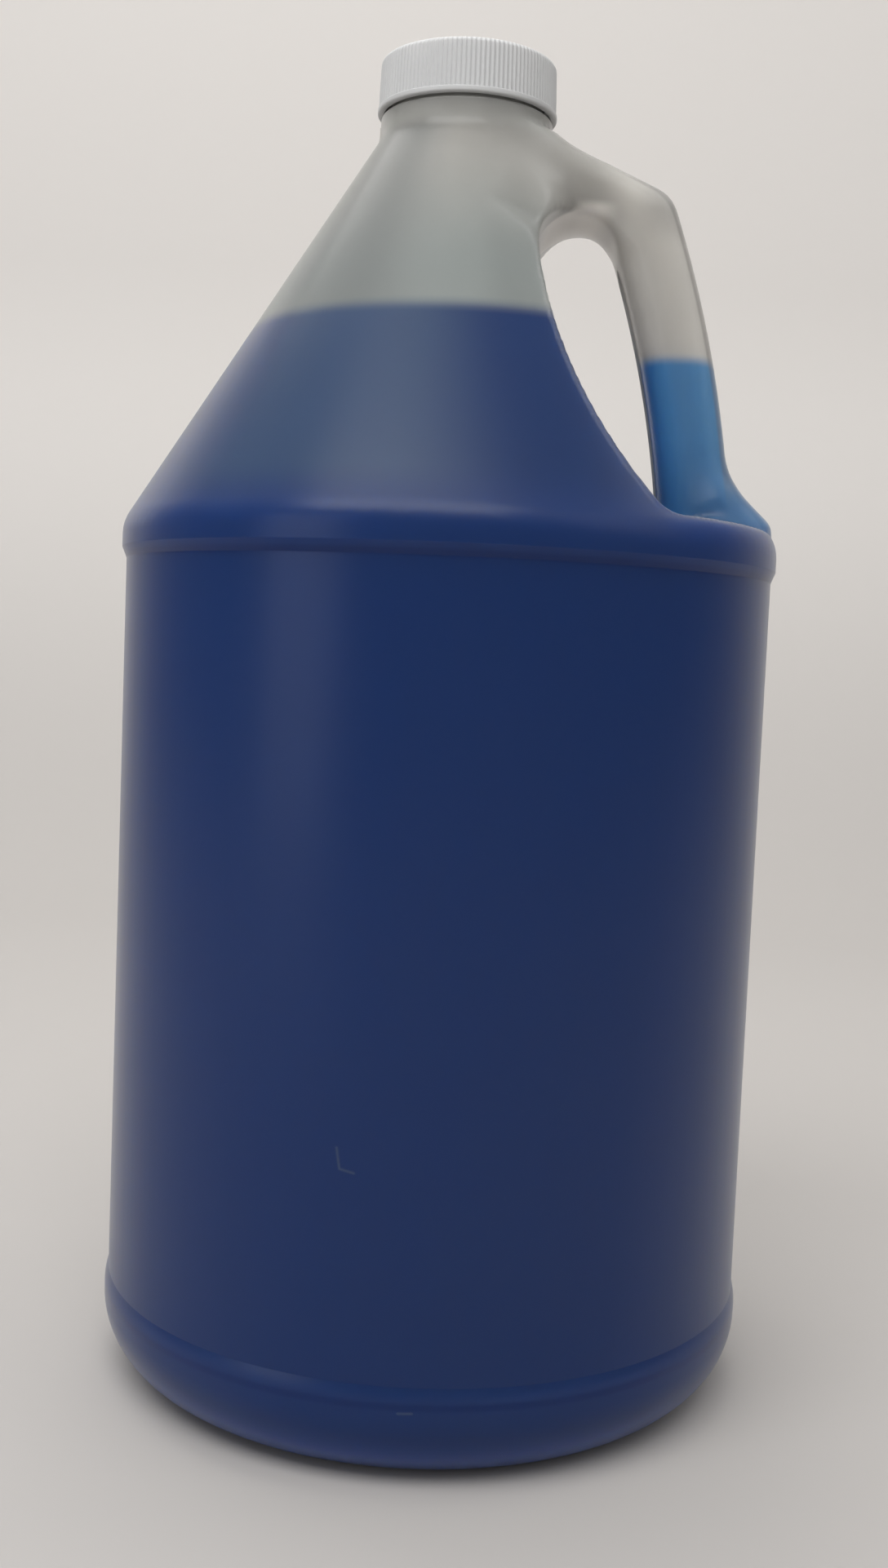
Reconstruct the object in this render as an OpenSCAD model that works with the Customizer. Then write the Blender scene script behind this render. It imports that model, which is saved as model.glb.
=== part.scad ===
// One-gallon round jug for liquid cleaner: a blow-moulded translucent bottle with a hollow
// through-handle, its liquid fill, a ribbed screw cap and the cap's foam liner.
// Millimetres. Z is the jug's axis, the base stands on z = 0 and the handle points to +X.

/* [Body] */
// Radius of the shoulder bead, the widest part of the jug
body_r = 76; // [72:0.5:80]
// Radius of the heel bead
heel_r = 75.7; // [75.2:0.1:76.5]
// Radius of the label panel between the two beads
panel_r = 74.8; // [73.5:0.1:75]
// Wall thickness of the bottle
wall = 1; // [0.8:0.1:1.6]
// Rounding of the heel, seen from the side
heel_round = 17.7; // [12:0.1:18.5]
// Rounding of the heel bead where it turns in to the label panel
heel_crown = 9.3; // [6:0.1:12]
// Height of the crease between heel bead and label panel
heel_h = 23.2; // [22.8:0.1:30]
// Height of the push-up under the base
push_h = 5; // [3.5:0.1:8]
// Inner radius of the ring that the jug stands on
stand_r = 51; // [44:0.5:54]
// Rounding of the push-up's edges
push_round = 3.5; // [2:0.1:4]
// Height of the moulding seam that crosses the push-up
seam_h = 0.8; // [0.4:0.1:1.5]
// Width of that seam
seam_w = 2.4; // [1.5:0.1:4]
// Length of that seam
seam_l = 72; // [40:1:80]

/* [Shoulder] */
// Height at which the cone would meet the bead's radius
cone_z = 196.1; // [180:0.5:212]
// Height of the cone
cone_h = 90.2; // [84:0.5:98]
// Height of the shoulder bead, from its lower edge to the cone
bead_h = 8; // [6:0.5:12]
// Height of the slope below the shoulder bead
bead_slope_h = 2.5; // [1.5:0.1:4]
// Rounding between shoulder bead and cone
bead_round = 9; // [5:0.5:12]

/* [Handle] */
// Width of the grip, seen from the front
grip_w = 17; // [14:0.5:19]
// Depth of the grip, seen from the side
grip_depth = 24; // [18:0.5:28]
// Depth of the handle where it leaves the cone
root_depth = 28; // [22:0.5:32]
// Depth of the handle's foot
foot_depth = 32; // [26:0.5:38]
// Radius of the grip's outer curve
grip_curve = 275; // [200:5:400]
// Drop of the grip curve's centre below the recess floor
grip_low = 22.1; // [15:0.1:30]
// How far the grip's outermost line stays inside the shoulder bead
grip_inset = 9.3; // [7:0.1:12]
// Slope of the handle's top, in degrees
top_slope = 22.7; // [18:0.5:26]
// Rounding of the handle's outer top corner
corner_round = 9; // [6:0.5:12]
// Rounding of the hole at the handle's top corner
hole_round = 7; // [5:0.5:8]
// Height over the cone's upper end at which the handle's top meets the collar
top_rise = 1.8; // [0.5:0.1:3]
// Height of the foot's outer corner over the cone's foot
foot_rise = 5.9; // [4:0.1:8]
// How far the foot's outer corner stays inside the shoulder bead
foot_inset = 0.5; // [0.3:0.1:2]
// Rounding of the foot's outer corner
foot_round = 5; // [3:0.5:8]
// Rounding at the bottom of the hole
well_round = 4.5; // [3:0.5:6]
// Rounding where the grip flares out to the bead
flare_round = 18; // [12:0.5:24]
// Angle of that flare from upright
flare_angle = 47; // [40:1:52]
// Squareness of the handle's section, 2 is an oval
section_power = 2.7; // [2:0.1:4]

/* [Hand recess] */
// Rise of the recess floor over the cone's foot
floor_rise = 3.5; // [2:0.1:8]
// Drop of the recess top below the cone's upper end
arch_drop = 16.3; // [14:0.1:20]
// Curve radius of the recess wall
recess_curve = 98; // [90:1:130]
// Distance of the recess wall from the jug's axis at the arch
recess_x = 16; // [15:0.1:20]
// Rounding between recess wall and floor
floor_round = 8; // [6:0.5:10]
// Rounding between recess wall and arch
arch_round = 9; // [6:0.5:10]

/* [Neck] */
// Radius of the collar below the thread
collar_r = 19.8; // [19.2:0.1:21]
// Height of the collar
collar_h = 5.4; // [4:0.1:8]
// Radius of the neck at the root of the thread
neck_r = 17.4; // [17:0.1:18]
// Height of the threaded neck above the collar
neck_h = 10.3; // [9.5:0.1:12]
// Radius of the mouth
mouth_r = 15; // [13.5:0.1:15.5]
// Pitch of the thread
pitch = 4.233; // [4:0.001:4.5]
// How far the thread stands out of the neck
thread_h = 1.2; // [0.8:0.1:1.3]
// Turns of thread on the neck
neck_turns = 1.5; // [1:0.25:1.5]
// Distance from the rim down to the end of the thread
thread_start = 2; // [1.8:0.1:2.5]
// Height of the thread at its root
thread_root_w = 2.3; // [1.8:0.1:2.4]
// Height of the thread at its crest
thread_crest_w = 1.2; // [0.8:0.1:1.4]

/* [Cap] */
// Thickness of the cap's side at its top, ribs included
cap_side_t = 1.2; // [1:0.1:2]
// How far the cap's lower lip stands out of its ribs
lip_stand = 0.2; // [0.1:0.05:0.5]
// Thickness of the cap's top
cap_top_t = 1.2; // [0.8:0.1:2]
// Gap between the cap's lip and the collar
lip_gap = 0.6; // [0.4:0.1:1]
// Height of the smooth lip below the ribs
lip_h = 1.3; // [1:0.1:2]
// Depth of the ribs
rib_h = 0.3; // [0.2:0.05:0.4]
// Ribs round the cap
rib_count = 120; // [60:4:140]
// Thickness of the liner
liner_t = 1; // [0.6:0.1:1.6]
// How much the cap's side widens from its top to its lip
cap_draft = 0.3; // [0.1:0.1:0.5]
// Height of the cap's thread at its root
cap_thread_root_w = 1.9; // [1.6:0.1:2]
// Height of the cap's thread at its crest
cap_thread_crest_w = 0.9; // [0.6:0.1:1.2]
// Gap between the touching sides of the two threads
flank_gap = 0.3; // [0.1:0.05:0.4]
// Gap round the liner
liner_gap = 0.3; // [0.1:0.05:0.5]
// Turns of thread in the cap
cap_turns = 1.25; // [1:0.25:1.5]
// Radial gap between the neck's thread and the cap
thread_gap = 0.4; // [0.3:0.05:0.5]

/* [Liquid] */
// Height of the liquid's surface
fill_z = 242; // [150:1:255]
// Gap between liquid and wall
fill_gap = 0.1; // [0.05:0.05:0.2]

/* [Hidden] */
// Sides of the body and of the neck and cap, segments along a large and a small rounding
body_sides = 180;
neck_sides = 120;
arc_steps = 6;
edge_steps = 4;
// Segments along a straight of the handle, sides of the handle's section
bar_steps = 3;
section_sides = 24;
// Steps per turn of thread, steps over which it runs out, and how far it roots in its wall
turn_steps = 36;
fade_steps = 4;
sink = 0.4;
// How far joined forms reach into each other, and cuts past the form they cut
lap = 1;

// Cone and shoulder
cone_top = cone_z + cone_h;
cone_tan = (body_r - collar_r) / cone_h;
cone_angle = atan(cone_tan);
bead_z = cone_z - bead_h;
ramp_half = atan((body_r - panel_r) / bead_slope_h) / 2;
bead_round_z = cone_z - bead_round * tan(cone_angle / 2);
collar_top = cone_top + collar_h;
rim_z = collar_top + neck_h;
rim_chamfer = 0.5;

// Threads: both lie on one helix, the cap's drop below the neck's
thread_z = rim_z - thread_start - pitch * neck_turns;
thread_drop = (thread_root_w + cap_thread_root_w) / 2 + flank_gap;
skirt_z = collar_top + lip_gap;
cap_a0 = 360 * (skirt_z + cap_thread_root_w / 2 + lip_gap - thread_z + thread_drop) / pitch;

// Cap
cap_bore_r = neck_r + thread_h + thread_gap;
cap_top_r = cap_bore_r + cap_side_t;
cap_z = rim_z + liner_t + cap_top_t;
rib_z = skirt_z + lip_h;
rib_r = cap_top_r + cap_draft;
cap_lip_r = rib_r + lip_stand;
lip_round = 0.5;
top_round = 1;
// Valley and crest of one rib: place round the cap in ribs, depth below the crest in rib heights
rib_shape = [[0, 1], [0.3, 1], [0.45, 0], [0.85, 0]];

// Base and heel: the heel bead turns in to the panel along a parabola from crown_z up
crown_z = max(heel_round, heel_h - sqrt(2 * heel_crown * abs(heel_r - panel_r)));
push_angle = 45;
push_run = 2 * push_round * sin(push_angle)
    + (push_h - 2 * push_round * (1 - cos(push_angle))) / tan(push_angle);

// Hand recess: one long curve for its wall, rounded into its floor and its arch
floor_z = cone_z + floor_rise;
arch_z = cone_top - arch_drop;
// Drop from the arch to where the wall comes nearest to the jug's axis
wall_drop = 2;
recess_c = [recess_x + recess_curve, arch_z - wall_drop];
// How far the handle's underside hangs below the arch
arch_lap = 0.5;

// Handle: the grip's outer and inner curves share one centre
top_point = [collar_r, cone_top + top_rise];
top_dir = [cos(top_slope), -sin(top_slope)];
top_normal = [sin(top_slope), cos(top_slope)];
foot_point = [body_r - foot_inset, cone_z + foot_rise];
flare_dir = [sin(flare_angle), -cos(flare_angle)];
flare_normal = [cos(flare_angle), sin(flare_angle)];
grip_c = [body_r - grip_inset - grip_curve, floor_z - grip_low];
hole_curve = grip_curve - grip_w;
hole_top = arch_z - arch_lap;
// Where the handle starts, inside the neck's cavity
root_x = 0.8 * mouth_r;
// Direction in which the hole's lower rounding runs into the floor, in degrees
well_turn = -70;

// Distance along a line to the centre of a circle that touches the grip's centre circle
function along(p, d, r) = let (v = p - grip_c, b = v * d) -b + sqrt(b * b - v * v + r * r);
function toward(p) = let (v = p - grip_c) atan2(v.y, v.x);
function arc(c, r, a0, a1, n = arc_steps, first = 0) =
    [for (i = [first:n]) let (a = a0 + (a1 - a0) * i / n) c + r * [cos(a), sin(a)]];
function line(p, q, n) = [for (i = [0:n]) p + (q - p) * i / n];
function height_angle(r, z) = asin((z - grip_c.y) / r);

// Centres of the roundings in the handle's outline
corner_base = top_point - corner_round * top_normal;
corner_c = corner_base + top_dir * along(corner_base, top_dir, grip_curve - corner_round);
flare_base = foot_point + flare_round * flare_normal;
flare_c = flare_base + flare_dir * along(flare_base, flare_dir, grip_curve + flare_round);
foot_c = foot_point - [foot_round, foot_round * tan(flare_angle / 2)];
hole_c = let (z = hole_top - hole_round, r = hole_curve - hole_round)
    [grip_c.x + r * cos(height_angle(r, z)), z];
well_c = let (z = floor_z + well_round, r = hole_curve - well_round)
    [grip_c.x + r * cos(height_angle(r, z)), z];

// Outer and inner edge of the handle in the XZ plane, one point each per section
function bend(c, r, a0, a1) = arc(c, r, a0, a1, first = 1);
outer_edge = concat(
    line(top_point - top_dir * (collar_r - root_x) / cos(top_slope),
        corner_c + corner_round * top_normal, bar_steps),
    bend(corner_c, corner_round, 90 - top_slope, toward(corner_c)),
    bend(grip_c, grip_curve, toward(corner_c), toward(flare_c)),
    bend(flare_c, flare_round, 180 + toward(flare_c), 180 + flare_angle),
    bend(foot_c, foot_round, flare_angle, 0),
    [[foot_point.x - foot_round / 2, bead_z]]);
inner_edge = concat(
    line([root_x, hole_top], [hole_c.x, hole_top], bar_steps),
    bend(hole_c, hole_round, 90, toward(hole_c)),
    bend(grip_c, hole_curve, toward(hole_c), toward(flare_c)),
    bend(grip_c, hole_curve, toward(flare_c), toward(well_c)),
    bend(well_c, well_round, toward(well_c), well_turn),
    [[well_c.x, bead_z]]);
// Depth of each section: wide at the root, narrow in the grip, wide again in the foot
depths = concat(
    [for (i = [0:bar_steps]) root_depth + (grip_depth - root_depth) * i / bar_steps],
    [for (i = [1:2 * arc_steps]) grip_depth],
    [for (i = [1:2 * arc_steps])
        grip_depth + (foot_depth - grip_depth) * (1 - cos(90 * i / arc_steps)) / 2],
    [foot_depth]);

// One section of the handle, a squared oval set in by t
function power(v, p) = sign(v) * pow(abs(v), p);
function section(o, i, depth, t) =
    let (mid = (o + i) / 2, len = norm(o - i), u = (o - i) / len)
    [for (k = [0:section_sides - 1])
        let (a = 360 * k / section_sides,
            w = (len / 2 - t) * power(cos(a), 2 / section_power),
            y = (depth / 2 - t) * power(sin(a), 2 / section_power))
        [mid.x + u.x * w, y, mid.y + u.y * w]];

// Closed solid through rings of equal point count
module loft(rings) {
    n = len(rings[0]);
    last = len(rings) - 1;
    polyhedron(
        points = [for (r = rings) each r],
        faces = concat(
            [[for (k = [n - 1:-1:0]) k]],
            [for (j = [0:last - 1], k = [0:n - 1])
                [j * n + k, j * n + (k + 1) % n, (j + 1) * n + (k + 1) % n, (j + 1) * n + k]],
            [[for (k = [0:n - 1]) last * n + k]]));
}

module handle(t) {
    loft([for (j = [0:len(outer_edge) - 1])
        section(outer_edge[j], inner_edge[j], depths[j], t)]);
}

// Space cut out of both sides of the cone for the hand, grown by t
module recess(t) {
    fc = let (z = floor_z + floor_round, r = recess_curve - floor_round)
        [recess_c.x - sqrt(r * r - pow(recess_c.y - z, 2)), z];
    ac = let (z = arch_z - arch_round, r = recess_curve - arch_round)
        [recess_c.x - sqrt(r * r - pow(recess_c.y - z, 2)), z];
    function wall_angle(p) = 180 + atan2(recess_c.y - p.y, recess_c.x - p.x);
    rotate([90, 0, 0])
        linear_extrude(2 * (body_r + lap), center = true)
            polygon(concat(
                arc(ac, arch_round + t, 90, wall_angle(ac)),
                arc(recess_c, recess_curve + t, wall_angle(ac), wall_angle(fc), 2 * arc_steps),
                arc(fc, floor_round + t, wall_angle(fc), 270),
                [[body_r + lap, floor_z - t], [body_r + lap, arch_z + t]]));
}

// Half outline of the body from the base's centre to the top of the cone, set in by t
function crown(t) = [for (i = [1:edge_steps]) let (s = i / edge_steps)
    [heel_r - t - (heel_r - panel_r) * s * s,
        crown_z + (heel_h - crown_z) * sqrt(1 - t / heel_crown) * s]];
function skin(t) = concat(
    [[0, push_h + t]],
    arc([stand_r - push_run, push_h - push_round], push_round + t, 90, 90 - push_angle),
    arc([stand_r, push_round], push_round - t, 270 - push_angle, 270),
    arc([heel_r - heel_round, heel_round], heel_round - t, 270, 360),
    crown(t),
    [[panel_r - t, bead_z + t * tan(ramp_half)],
        [body_r - t, bead_z + bead_slope_h + t * tan(ramp_half)]],
    arc([body_r - bead_round, bead_round_z], bead_round - t, 0, cone_angle, edge_steps));

// Body and handle as one closed form, set in by t and capped at radius r above the cone
module vessel(t, r, top) {
    cone_end = cone_top + (collar_r - t / cos(cone_angle) - r) / cone_tan;
    difference() {
        rotate_extrude($fn = body_sides)
            polygon(concat(skin(t), [[r, cone_end], [r, top], [0, top]]));
        recess(t);
    }
    handle(t);
}

// Helical ridge from radius root to radius crest, run out at both ends
module thread(root, crest, root_w, crest_w, z0, a0, turns) {
    n = round(turns * turn_steps);
    out = sign(crest - root);
    loft([for (i = [0:n])
        let (a = a0 + 360 * i / turn_steps,
            z = z0 + pitch * i / turn_steps,
            fade = min(1, i / fade_steps, (n - i) / fade_steps),
            tip = root + (crest - root) * fade - out * sink * (1 - fade) / 2)
        [for (p = [[root - out * sink, -root_w / 2], [tip, -crest_w / 2],
                [tip, crest_w / 2], [root - out * sink, root_w / 2]])
            [p.x * cos(a), p.x * sin(a), z + out * p.y]]]);
}

module bottle() {
    color([0.72, 0.73, 0.71, 0.6]) {
        difference() {
            union() {
                vessel(0, collar_r, collar_top);
                rotate_extrude($fn = neck_sides)
                    polygon([[mouth_r - lap, collar_top - lap], [neck_r, collar_top - lap],
                        [neck_r, rim_z - rim_chamfer], [neck_r - rim_chamfer, rim_z],
                        [mouth_r - lap, rim_z]]);
                thread(neck_r, neck_r + thread_h, thread_root_w, thread_crest_w,
                    thread_z, 0, neck_turns);
                translate([-seam_l / 2, -seam_w / 2, push_h - seam_h])
                    cube([seam_l, seam_w, seam_h + wall / 2]);
            }
            vessel(wall, mouth_r, rim_z + lap);
        }
    }
}

module liquid() {
    color([0.09, 0.15, 0.38])
        intersection() {
            vessel(wall + fill_gap, mouth_r, rim_z);
            translate([-body_r, -body_r, 0])
                cube([2 * body_r, 2 * body_r, fill_z]);
        }
}

module cap() {
    color([0.86, 0.87, 0.87]) {
        difference() {
            union() {
                rotate_extrude($fn = neck_sides)
                    polygon(concat(
                        [[0, skirt_z]],
                        arc([cap_lip_r - lip_round, skirt_z + lip_round], lip_round,
                            270, 360, edge_steps),
                        arc([cap_lip_r - lip_round, rib_z - lip_round], lip_round,
                            0, 90, edge_steps),
                        [[rib_r - rib_h, rib_z], [cap_top_r - rib_h, cap_z - top_round]],
                        arc([cap_top_r - rib_h / 2 - top_round, cap_z - top_round], top_round,
                            0, 90, edge_steps),
                        [[0, cap_z]]));
                translate([0, 0, rib_z - lip_round])
                    linear_extrude(cap_z - top_round - rib_z + lip_round,
                        scale = cap_top_r / rib_r)
                        polygon([for (i = [0:rib_count - 1], p = rib_shape)
                            let (a = 360 * (i + p.x) / rib_count)
                            (rib_r - rib_h * p.y) * [cos(a), sin(a)]]);
            }
            translate([0, 0, skirt_z - lap])
                cylinder(h = rim_z + liner_t - skirt_z + lap, r = cap_bore_r,
                    $fn = neck_sides);
        }
        thread(cap_bore_r, neck_r + thread_gap, cap_thread_root_w, cap_thread_crest_w,
            thread_z - thread_drop + pitch * cap_a0 / 360, cap_a0, cap_turns);
    }
}

module liner() {
    color([0.93, 0.93, 0.9])
        translate([0, 0, rim_z])
            cylinder(h = liner_t, r = cap_bore_r - liner_gap, $fn = neck_sides);
}

bottle();
liquid();
cap();
liner();
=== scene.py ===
"""Looks of a one-gallon round jug of liquid cleaner: blow-moulded translucent bottle with a
hollow handle, dark blue liquid inside, ribbed screw cap and foam liner.

Shapes are in millimetres, materials, lamps and camera in metres, all in the part's own frame:
Z up the jug's axis, +X towards the handle, base on z = 0."""
import math

import bmesh
import bpy
import numpy as np
from mathutils import Matrix, Vector


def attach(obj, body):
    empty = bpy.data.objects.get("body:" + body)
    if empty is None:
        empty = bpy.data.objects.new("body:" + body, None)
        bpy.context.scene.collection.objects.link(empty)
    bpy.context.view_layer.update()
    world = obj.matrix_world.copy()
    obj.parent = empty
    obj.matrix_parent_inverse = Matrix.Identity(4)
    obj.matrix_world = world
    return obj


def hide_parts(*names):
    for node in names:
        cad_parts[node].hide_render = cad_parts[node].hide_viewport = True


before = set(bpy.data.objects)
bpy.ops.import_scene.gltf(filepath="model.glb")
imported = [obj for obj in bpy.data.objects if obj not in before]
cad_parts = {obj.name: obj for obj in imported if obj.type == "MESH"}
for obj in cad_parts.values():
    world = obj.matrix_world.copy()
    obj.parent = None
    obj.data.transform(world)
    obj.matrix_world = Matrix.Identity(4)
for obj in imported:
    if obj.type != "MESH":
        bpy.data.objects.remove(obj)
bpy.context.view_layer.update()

MM = 0.001

# ---- Sizes, the same as the solids' but for the liquid's level and the arch's rounding ----
BODY_R, HEEL_R, PANEL_R, COLLAR_R, NECK_R, MOUTH_R = 75.8, 75.6, 74.8, 19.8, 17.4, 15.0
WALL, FILL_GAP, LINE_Z = 1.0, 0.1, 241.0
# Heel and base, then cone and shoulder bead, then collar and neck
HEEL_ROUND, HEEL_CROWN, HEEL_H = 17.7, 9.3, 23.2
PUSH_H, STAND_R, PUSH_ROUND = 5.0, 51.0, 3.5
CONE_Z, CONE_H, BEAD_H, SLOPE_H, BEAD_ROUND = 196.1, 90.2, 8.0, 2.5, 9.0
COLLAR_H, NECK_H, PITCH, THREAD_H = 5.4, 10.3, 4.233, 1.2
CONE_TOP = CONE_Z + CONE_H
CONE_TAN = (BODY_R - COLLAR_R) / CONE_H
CONE_ANGLE = math.degrees(math.atan(CONE_TAN))
BEAD_Z = CONE_Z - BEAD_H
COLLAR_TOP = CONE_TOP + COLLAR_H
RIM_Z = COLLAR_TOP + NECK_H
# Hand recess: floor and arch, and the arc of its wall in the side view
FLOOR_Z, ARCH_Z = CONE_Z + 3.5, CONE_TOP - 16.3
RECESS_R, RECESS_C = 98.0, np.array([114.0, ARCH_Z - 2.0])
FLOOR_ROUND, ARCH_ROUND = 8.0, 11.5
# Handle: the arcs of the grip's outline and of the hole, the arm's top edge, the section
GRIP_R, GRIP_W = 275.0, 17.0
GRIP_C = np.array([BODY_R - 9.3 - GRIP_R, FLOOR_Z - 22.1])
HOLE_R = GRIP_R - GRIP_W
HOLE_TOP = ARCH_Z - 0.5
ROOT_X, ARM_SLOPE = 12.0, 22.7
ARM_TOP = np.array([COLLAR_R, CONE_TOP + 1.8])
ROOT_DEPTH, GRIP_DEPTH, FOOT_DEPTH = 28.0, 24.0, 32.0
# The section is a squared oval. ROOF_POWER squares its inner side further under the arm, so
# the hole's roof has a crisp edge, and SLIM is how far the skin stays in from the outline.
SECTION_POWER, ROOF_POWER, SLIM = 2.7, 3.0, 0.3
# Height at which the neck's thread of one and a half turns begins
THREAD_START = RIM_Z - 2 - PITCH * 1.5
# Roundings that the moulded skin has where the cut recess and the handle meet the cone
EDGE_BLEND, ROOT_BLEND, SEAT_BLEND = 1.5, 7.0, 4.0
# Round the hole's arch the cone's face is dished, to DISH_Y from the middle on the handle's
# side and DISH_MORE further out on the other
DISH_Y, DISH_MORE, DISH_W, DISH_BLEND = 12.6, 18.0, 5.5, 9.0
# Flash along the parting line: on the body, round the handle, round the hole
FLASH_BODY, FLASH_GRIP, FLASH_HOLE = 0.2, 0.45, 0.45
# How far below the skin the flash and the threads are rooted, and the solids' reach along X,
# which the flash doesn't pass
SINK, REACH = 0.4, (-75.95, 75.98)
# Heights and radii that lie past the shape, where a plane curve runs off it
PAST_LOW, PAST_HIGH, PAST_OUT = 150.0, 330.0, 300.0
# Widths of the cells that the outer skin is made of, and the inner one and the liquid
CELL_OUT, CELL_IN = ((1.25, 1.6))
# The free-form shoulder between these heights; below and above them the bottle is turned
LOW_CUT, HIGH_CUT, THROAT_Z = 192.0, 290.4, 296.0


# ---- Plane curves ----
def arc(c, r, a0, a1, n):
    a = np.radians(np.linspace(a0, a1, n + 1))
    return np.stack([c[0] + r * np.cos(a), c[1] + r * np.sin(a)], 1)


def unit(a):
    return np.array([math.cos(math.radians(a)), math.sin(math.radians(a))])


def toward(p):
    return math.degrees(math.atan2(p[1] - GRIP_C[1], p[0] - GRIP_C[0]))


def along(p, d, r):
    v = p - GRIP_C
    b = v @ d
    return -b + math.sqrt(b * b - v @ v + r * r)


def handle_edges():
    """Outer and inner edge of the handle and its depth, point by point along it."""
    slope, flare = ARM_SLOPE, 47.0
    corner_r, flare_r, foot_r, hole_r, well_r = 9.0, 18.0, 5.0, 7.0, 4.5
    low = BEAD_Z - 8.0
    d, nrm = unit(-slope), unit(90 - slope)
    foot = np.array([BODY_R - 0.5, CONE_Z + 5.9])
    fd, fn = unit(flare - 90), unit(flare)
    base = ARM_TOP - corner_r * nrm
    corner = base + d * along(base, d, GRIP_R - corner_r)
    base = foot + flare_r * fn
    out = base + fd * along(base, fd, GRIP_R + flare_r)
    toe = foot - np.array([foot_r, foot_r * math.tan(math.radians(flare / 2))])

    def inside(z, r):
        return np.array([GRIP_C[0] + math.sqrt(r * r - (z - GRIP_C[1]) ** 2), z])

    hole = inside(HOLE_TOP - hole_r, HOLE_R - hole_r)
    well = inside(FLOOR_Z + well_r, HOLE_R - well_r)
    start = ARM_TOP - d * (COLLAR_R - ROOT_X) / math.cos(math.radians(slope))
    bar = 12
    outer = [np.linspace(start, corner + corner_r * nrm, bar + 1),
             arc(corner, corner_r, 90 - slope, toward(corner), bar)[1:],
             arc(GRIP_C, GRIP_R, toward(corner), toward(out), 2 * bar)[1:],
             arc(out, flare_r, 180 + toward(out), 180 + flare, bar)[1:],
             arc(toe, foot_r, flare, 0, bar)[1:],
             np.array([[foot[0], low]])]
    inner = [np.linspace([ROOT_X, HOLE_TOP], [hole[0], HOLE_TOP], bar + 1),
             arc(hole, hole_r, 90, toward(hole), bar)[1:],
             arc(GRIP_C, HOLE_R, toward(hole), toward(out), 2 * bar)[1:],
             arc(GRIP_C, HOLE_R, toward(out), toward(well), bar)[1:],
             arc(well, well_r, toward(well), -70, bar)[1:],
             np.array([[well[0], low]])]
    s = np.linspace(0, 1, 2 * bar + 1)[1:]
    depth = [np.linspace(ROOT_DEPTH, GRIP_DEPTH, bar + 1), np.full(3 * bar, GRIP_DEPTH),
             GRIP_DEPTH + (FOOT_DEPTH - GRIP_DEPTH) * (1 - np.cos(s * math.pi)) / 2,
             np.array([FOOT_DEPTH])]
    return np.concatenate(outer), np.concatenate(inner), np.concatenate(depth)


def recess_edge():
    """Wall of the hand recess from far out along its arch, down and out along its floor."""
    def centre(z, r):
        return np.array([RECESS_C[0] - math.sqrt(r * r - (RECESS_C[1] - z) ** 2), z])

    fc = centre(FLOOR_Z + FLOOR_ROUND, RECESS_R - FLOOR_ROUND)
    ac = centre(ARCH_Z - ARCH_ROUND, RECESS_R - ARCH_ROUND)

    def wall_angle(p):
        v = RECESS_C - p
        return 180 + math.degrees(math.atan2(v[1], v[0]))

    return np.concatenate([
        [[PAST_OUT, ARCH_Z]], arc(ac, ARCH_ROUND, 90, wall_angle(ac), 16),
        arc(RECESS_C, RECESS_R, wall_angle(ac), wall_angle(fc), 40)[1:],
        arc(fc, FLOOR_ROUND, wall_angle(fc), 270, 16)[1:], [[PAST_OUT, FLOOR_Z]]])


def fillet(points, radii, n=6):
    """A line through points with its inner corners rounded."""
    out = [np.array(points[0], float)]
    for a, b, c, r in zip(points[:-2], points[1:-1], points[2:], radii):
        a, b, c = (np.array(p, float) for p in (a, b, c))
        if r <= 0:
            out.append(b)
            continue
        u, v = (a - b) / np.linalg.norm(a - b), (c - b) / np.linalg.norm(c - b)
        half = math.acos(max(-1, min(1, float(u @ v)))) / 2
        run = r / math.tan(half)
        mid = (u + v) / np.linalg.norm(u + v)
        o = b + mid * r / math.sin(half)
        p, q = b + u * run - o, b + v * run - o
        ang = math.atan2(p[0] * q[1] - p[1] * q[0], p @ q)
        for i in range(n + 1):
            t = ang * i / n
            out.append(o + [p[0] * math.cos(t) - p[1] * math.sin(t),
                            p[0] * math.sin(t) + p[1] * math.cos(t)])
    out.append(np.array(points[-1], float))
    return np.array(out)


def shoulder_profile(t):
    """Half outline of shoulder, cone and collar, set in by t, for the free-form part."""
    z0 = CONE_Z - BEAD_ROUND * math.tan(math.radians(CONE_ANGLE / 2))
    bead = arc([BODY_R - BEAD_ROUND, z0], BEAD_ROUND - t, 0, CONE_ANGLE, 16)
    r_end = COLLAR_R if t == 0 else MOUTH_R
    cut = t / math.cos(math.radians(CONE_ANGLE))
    end = [r_end, CONE_TOP + (COLLAR_R - cut - r_end) / CONE_TAN]
    top = fillet([bead[-1], end, [r_end, PAST_HIGH]], [6.0 if t == 0 else 1.5])
    return np.concatenate([[[BODY_R - t, PAST_LOW]], bead, top[1:]])


# ---- Distance fields ----
def signed_distance(px, pz, line):
    """Distance from each point to the line, positive on its left."""
    shape = np.broadcast(px, pz).shape
    best = np.full(shape, 1e9)
    side = np.ones(shape)
    for (ax, az), (bx, bz) in zip(line[:-1], line[1:]):
        ex, ez = bx - ax, bz - az
        l2 = ex * ex + ez * ez
        if l2 < 1e-12:
            continue
        s = np.clip(((px - ax) * ex + (pz - az) * ez) / l2, 0, 1)
        dx, dz = px - ax - s * ex, pz - az - s * ez
        d2 = dx * dx + dz * dz
        cross = ex * (pz - az) - ez * (px - ax)
        nearer = d2 < best - 1e-9
        level = np.abs(d2 - best) <= 1e-9
        flat = np.abs(cross) / math.sqrt(l2)
        # At a shared corner the segment that the point lies further off gives the side
        take = nearer | (level & (flat > np.abs(side)))
        best = np.where(nearer, d2, best)
        side = np.where(take, np.sign(cross) * np.maximum(flat, 1e-9), side)
    return np.sqrt(best) * np.sign(side)


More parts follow.
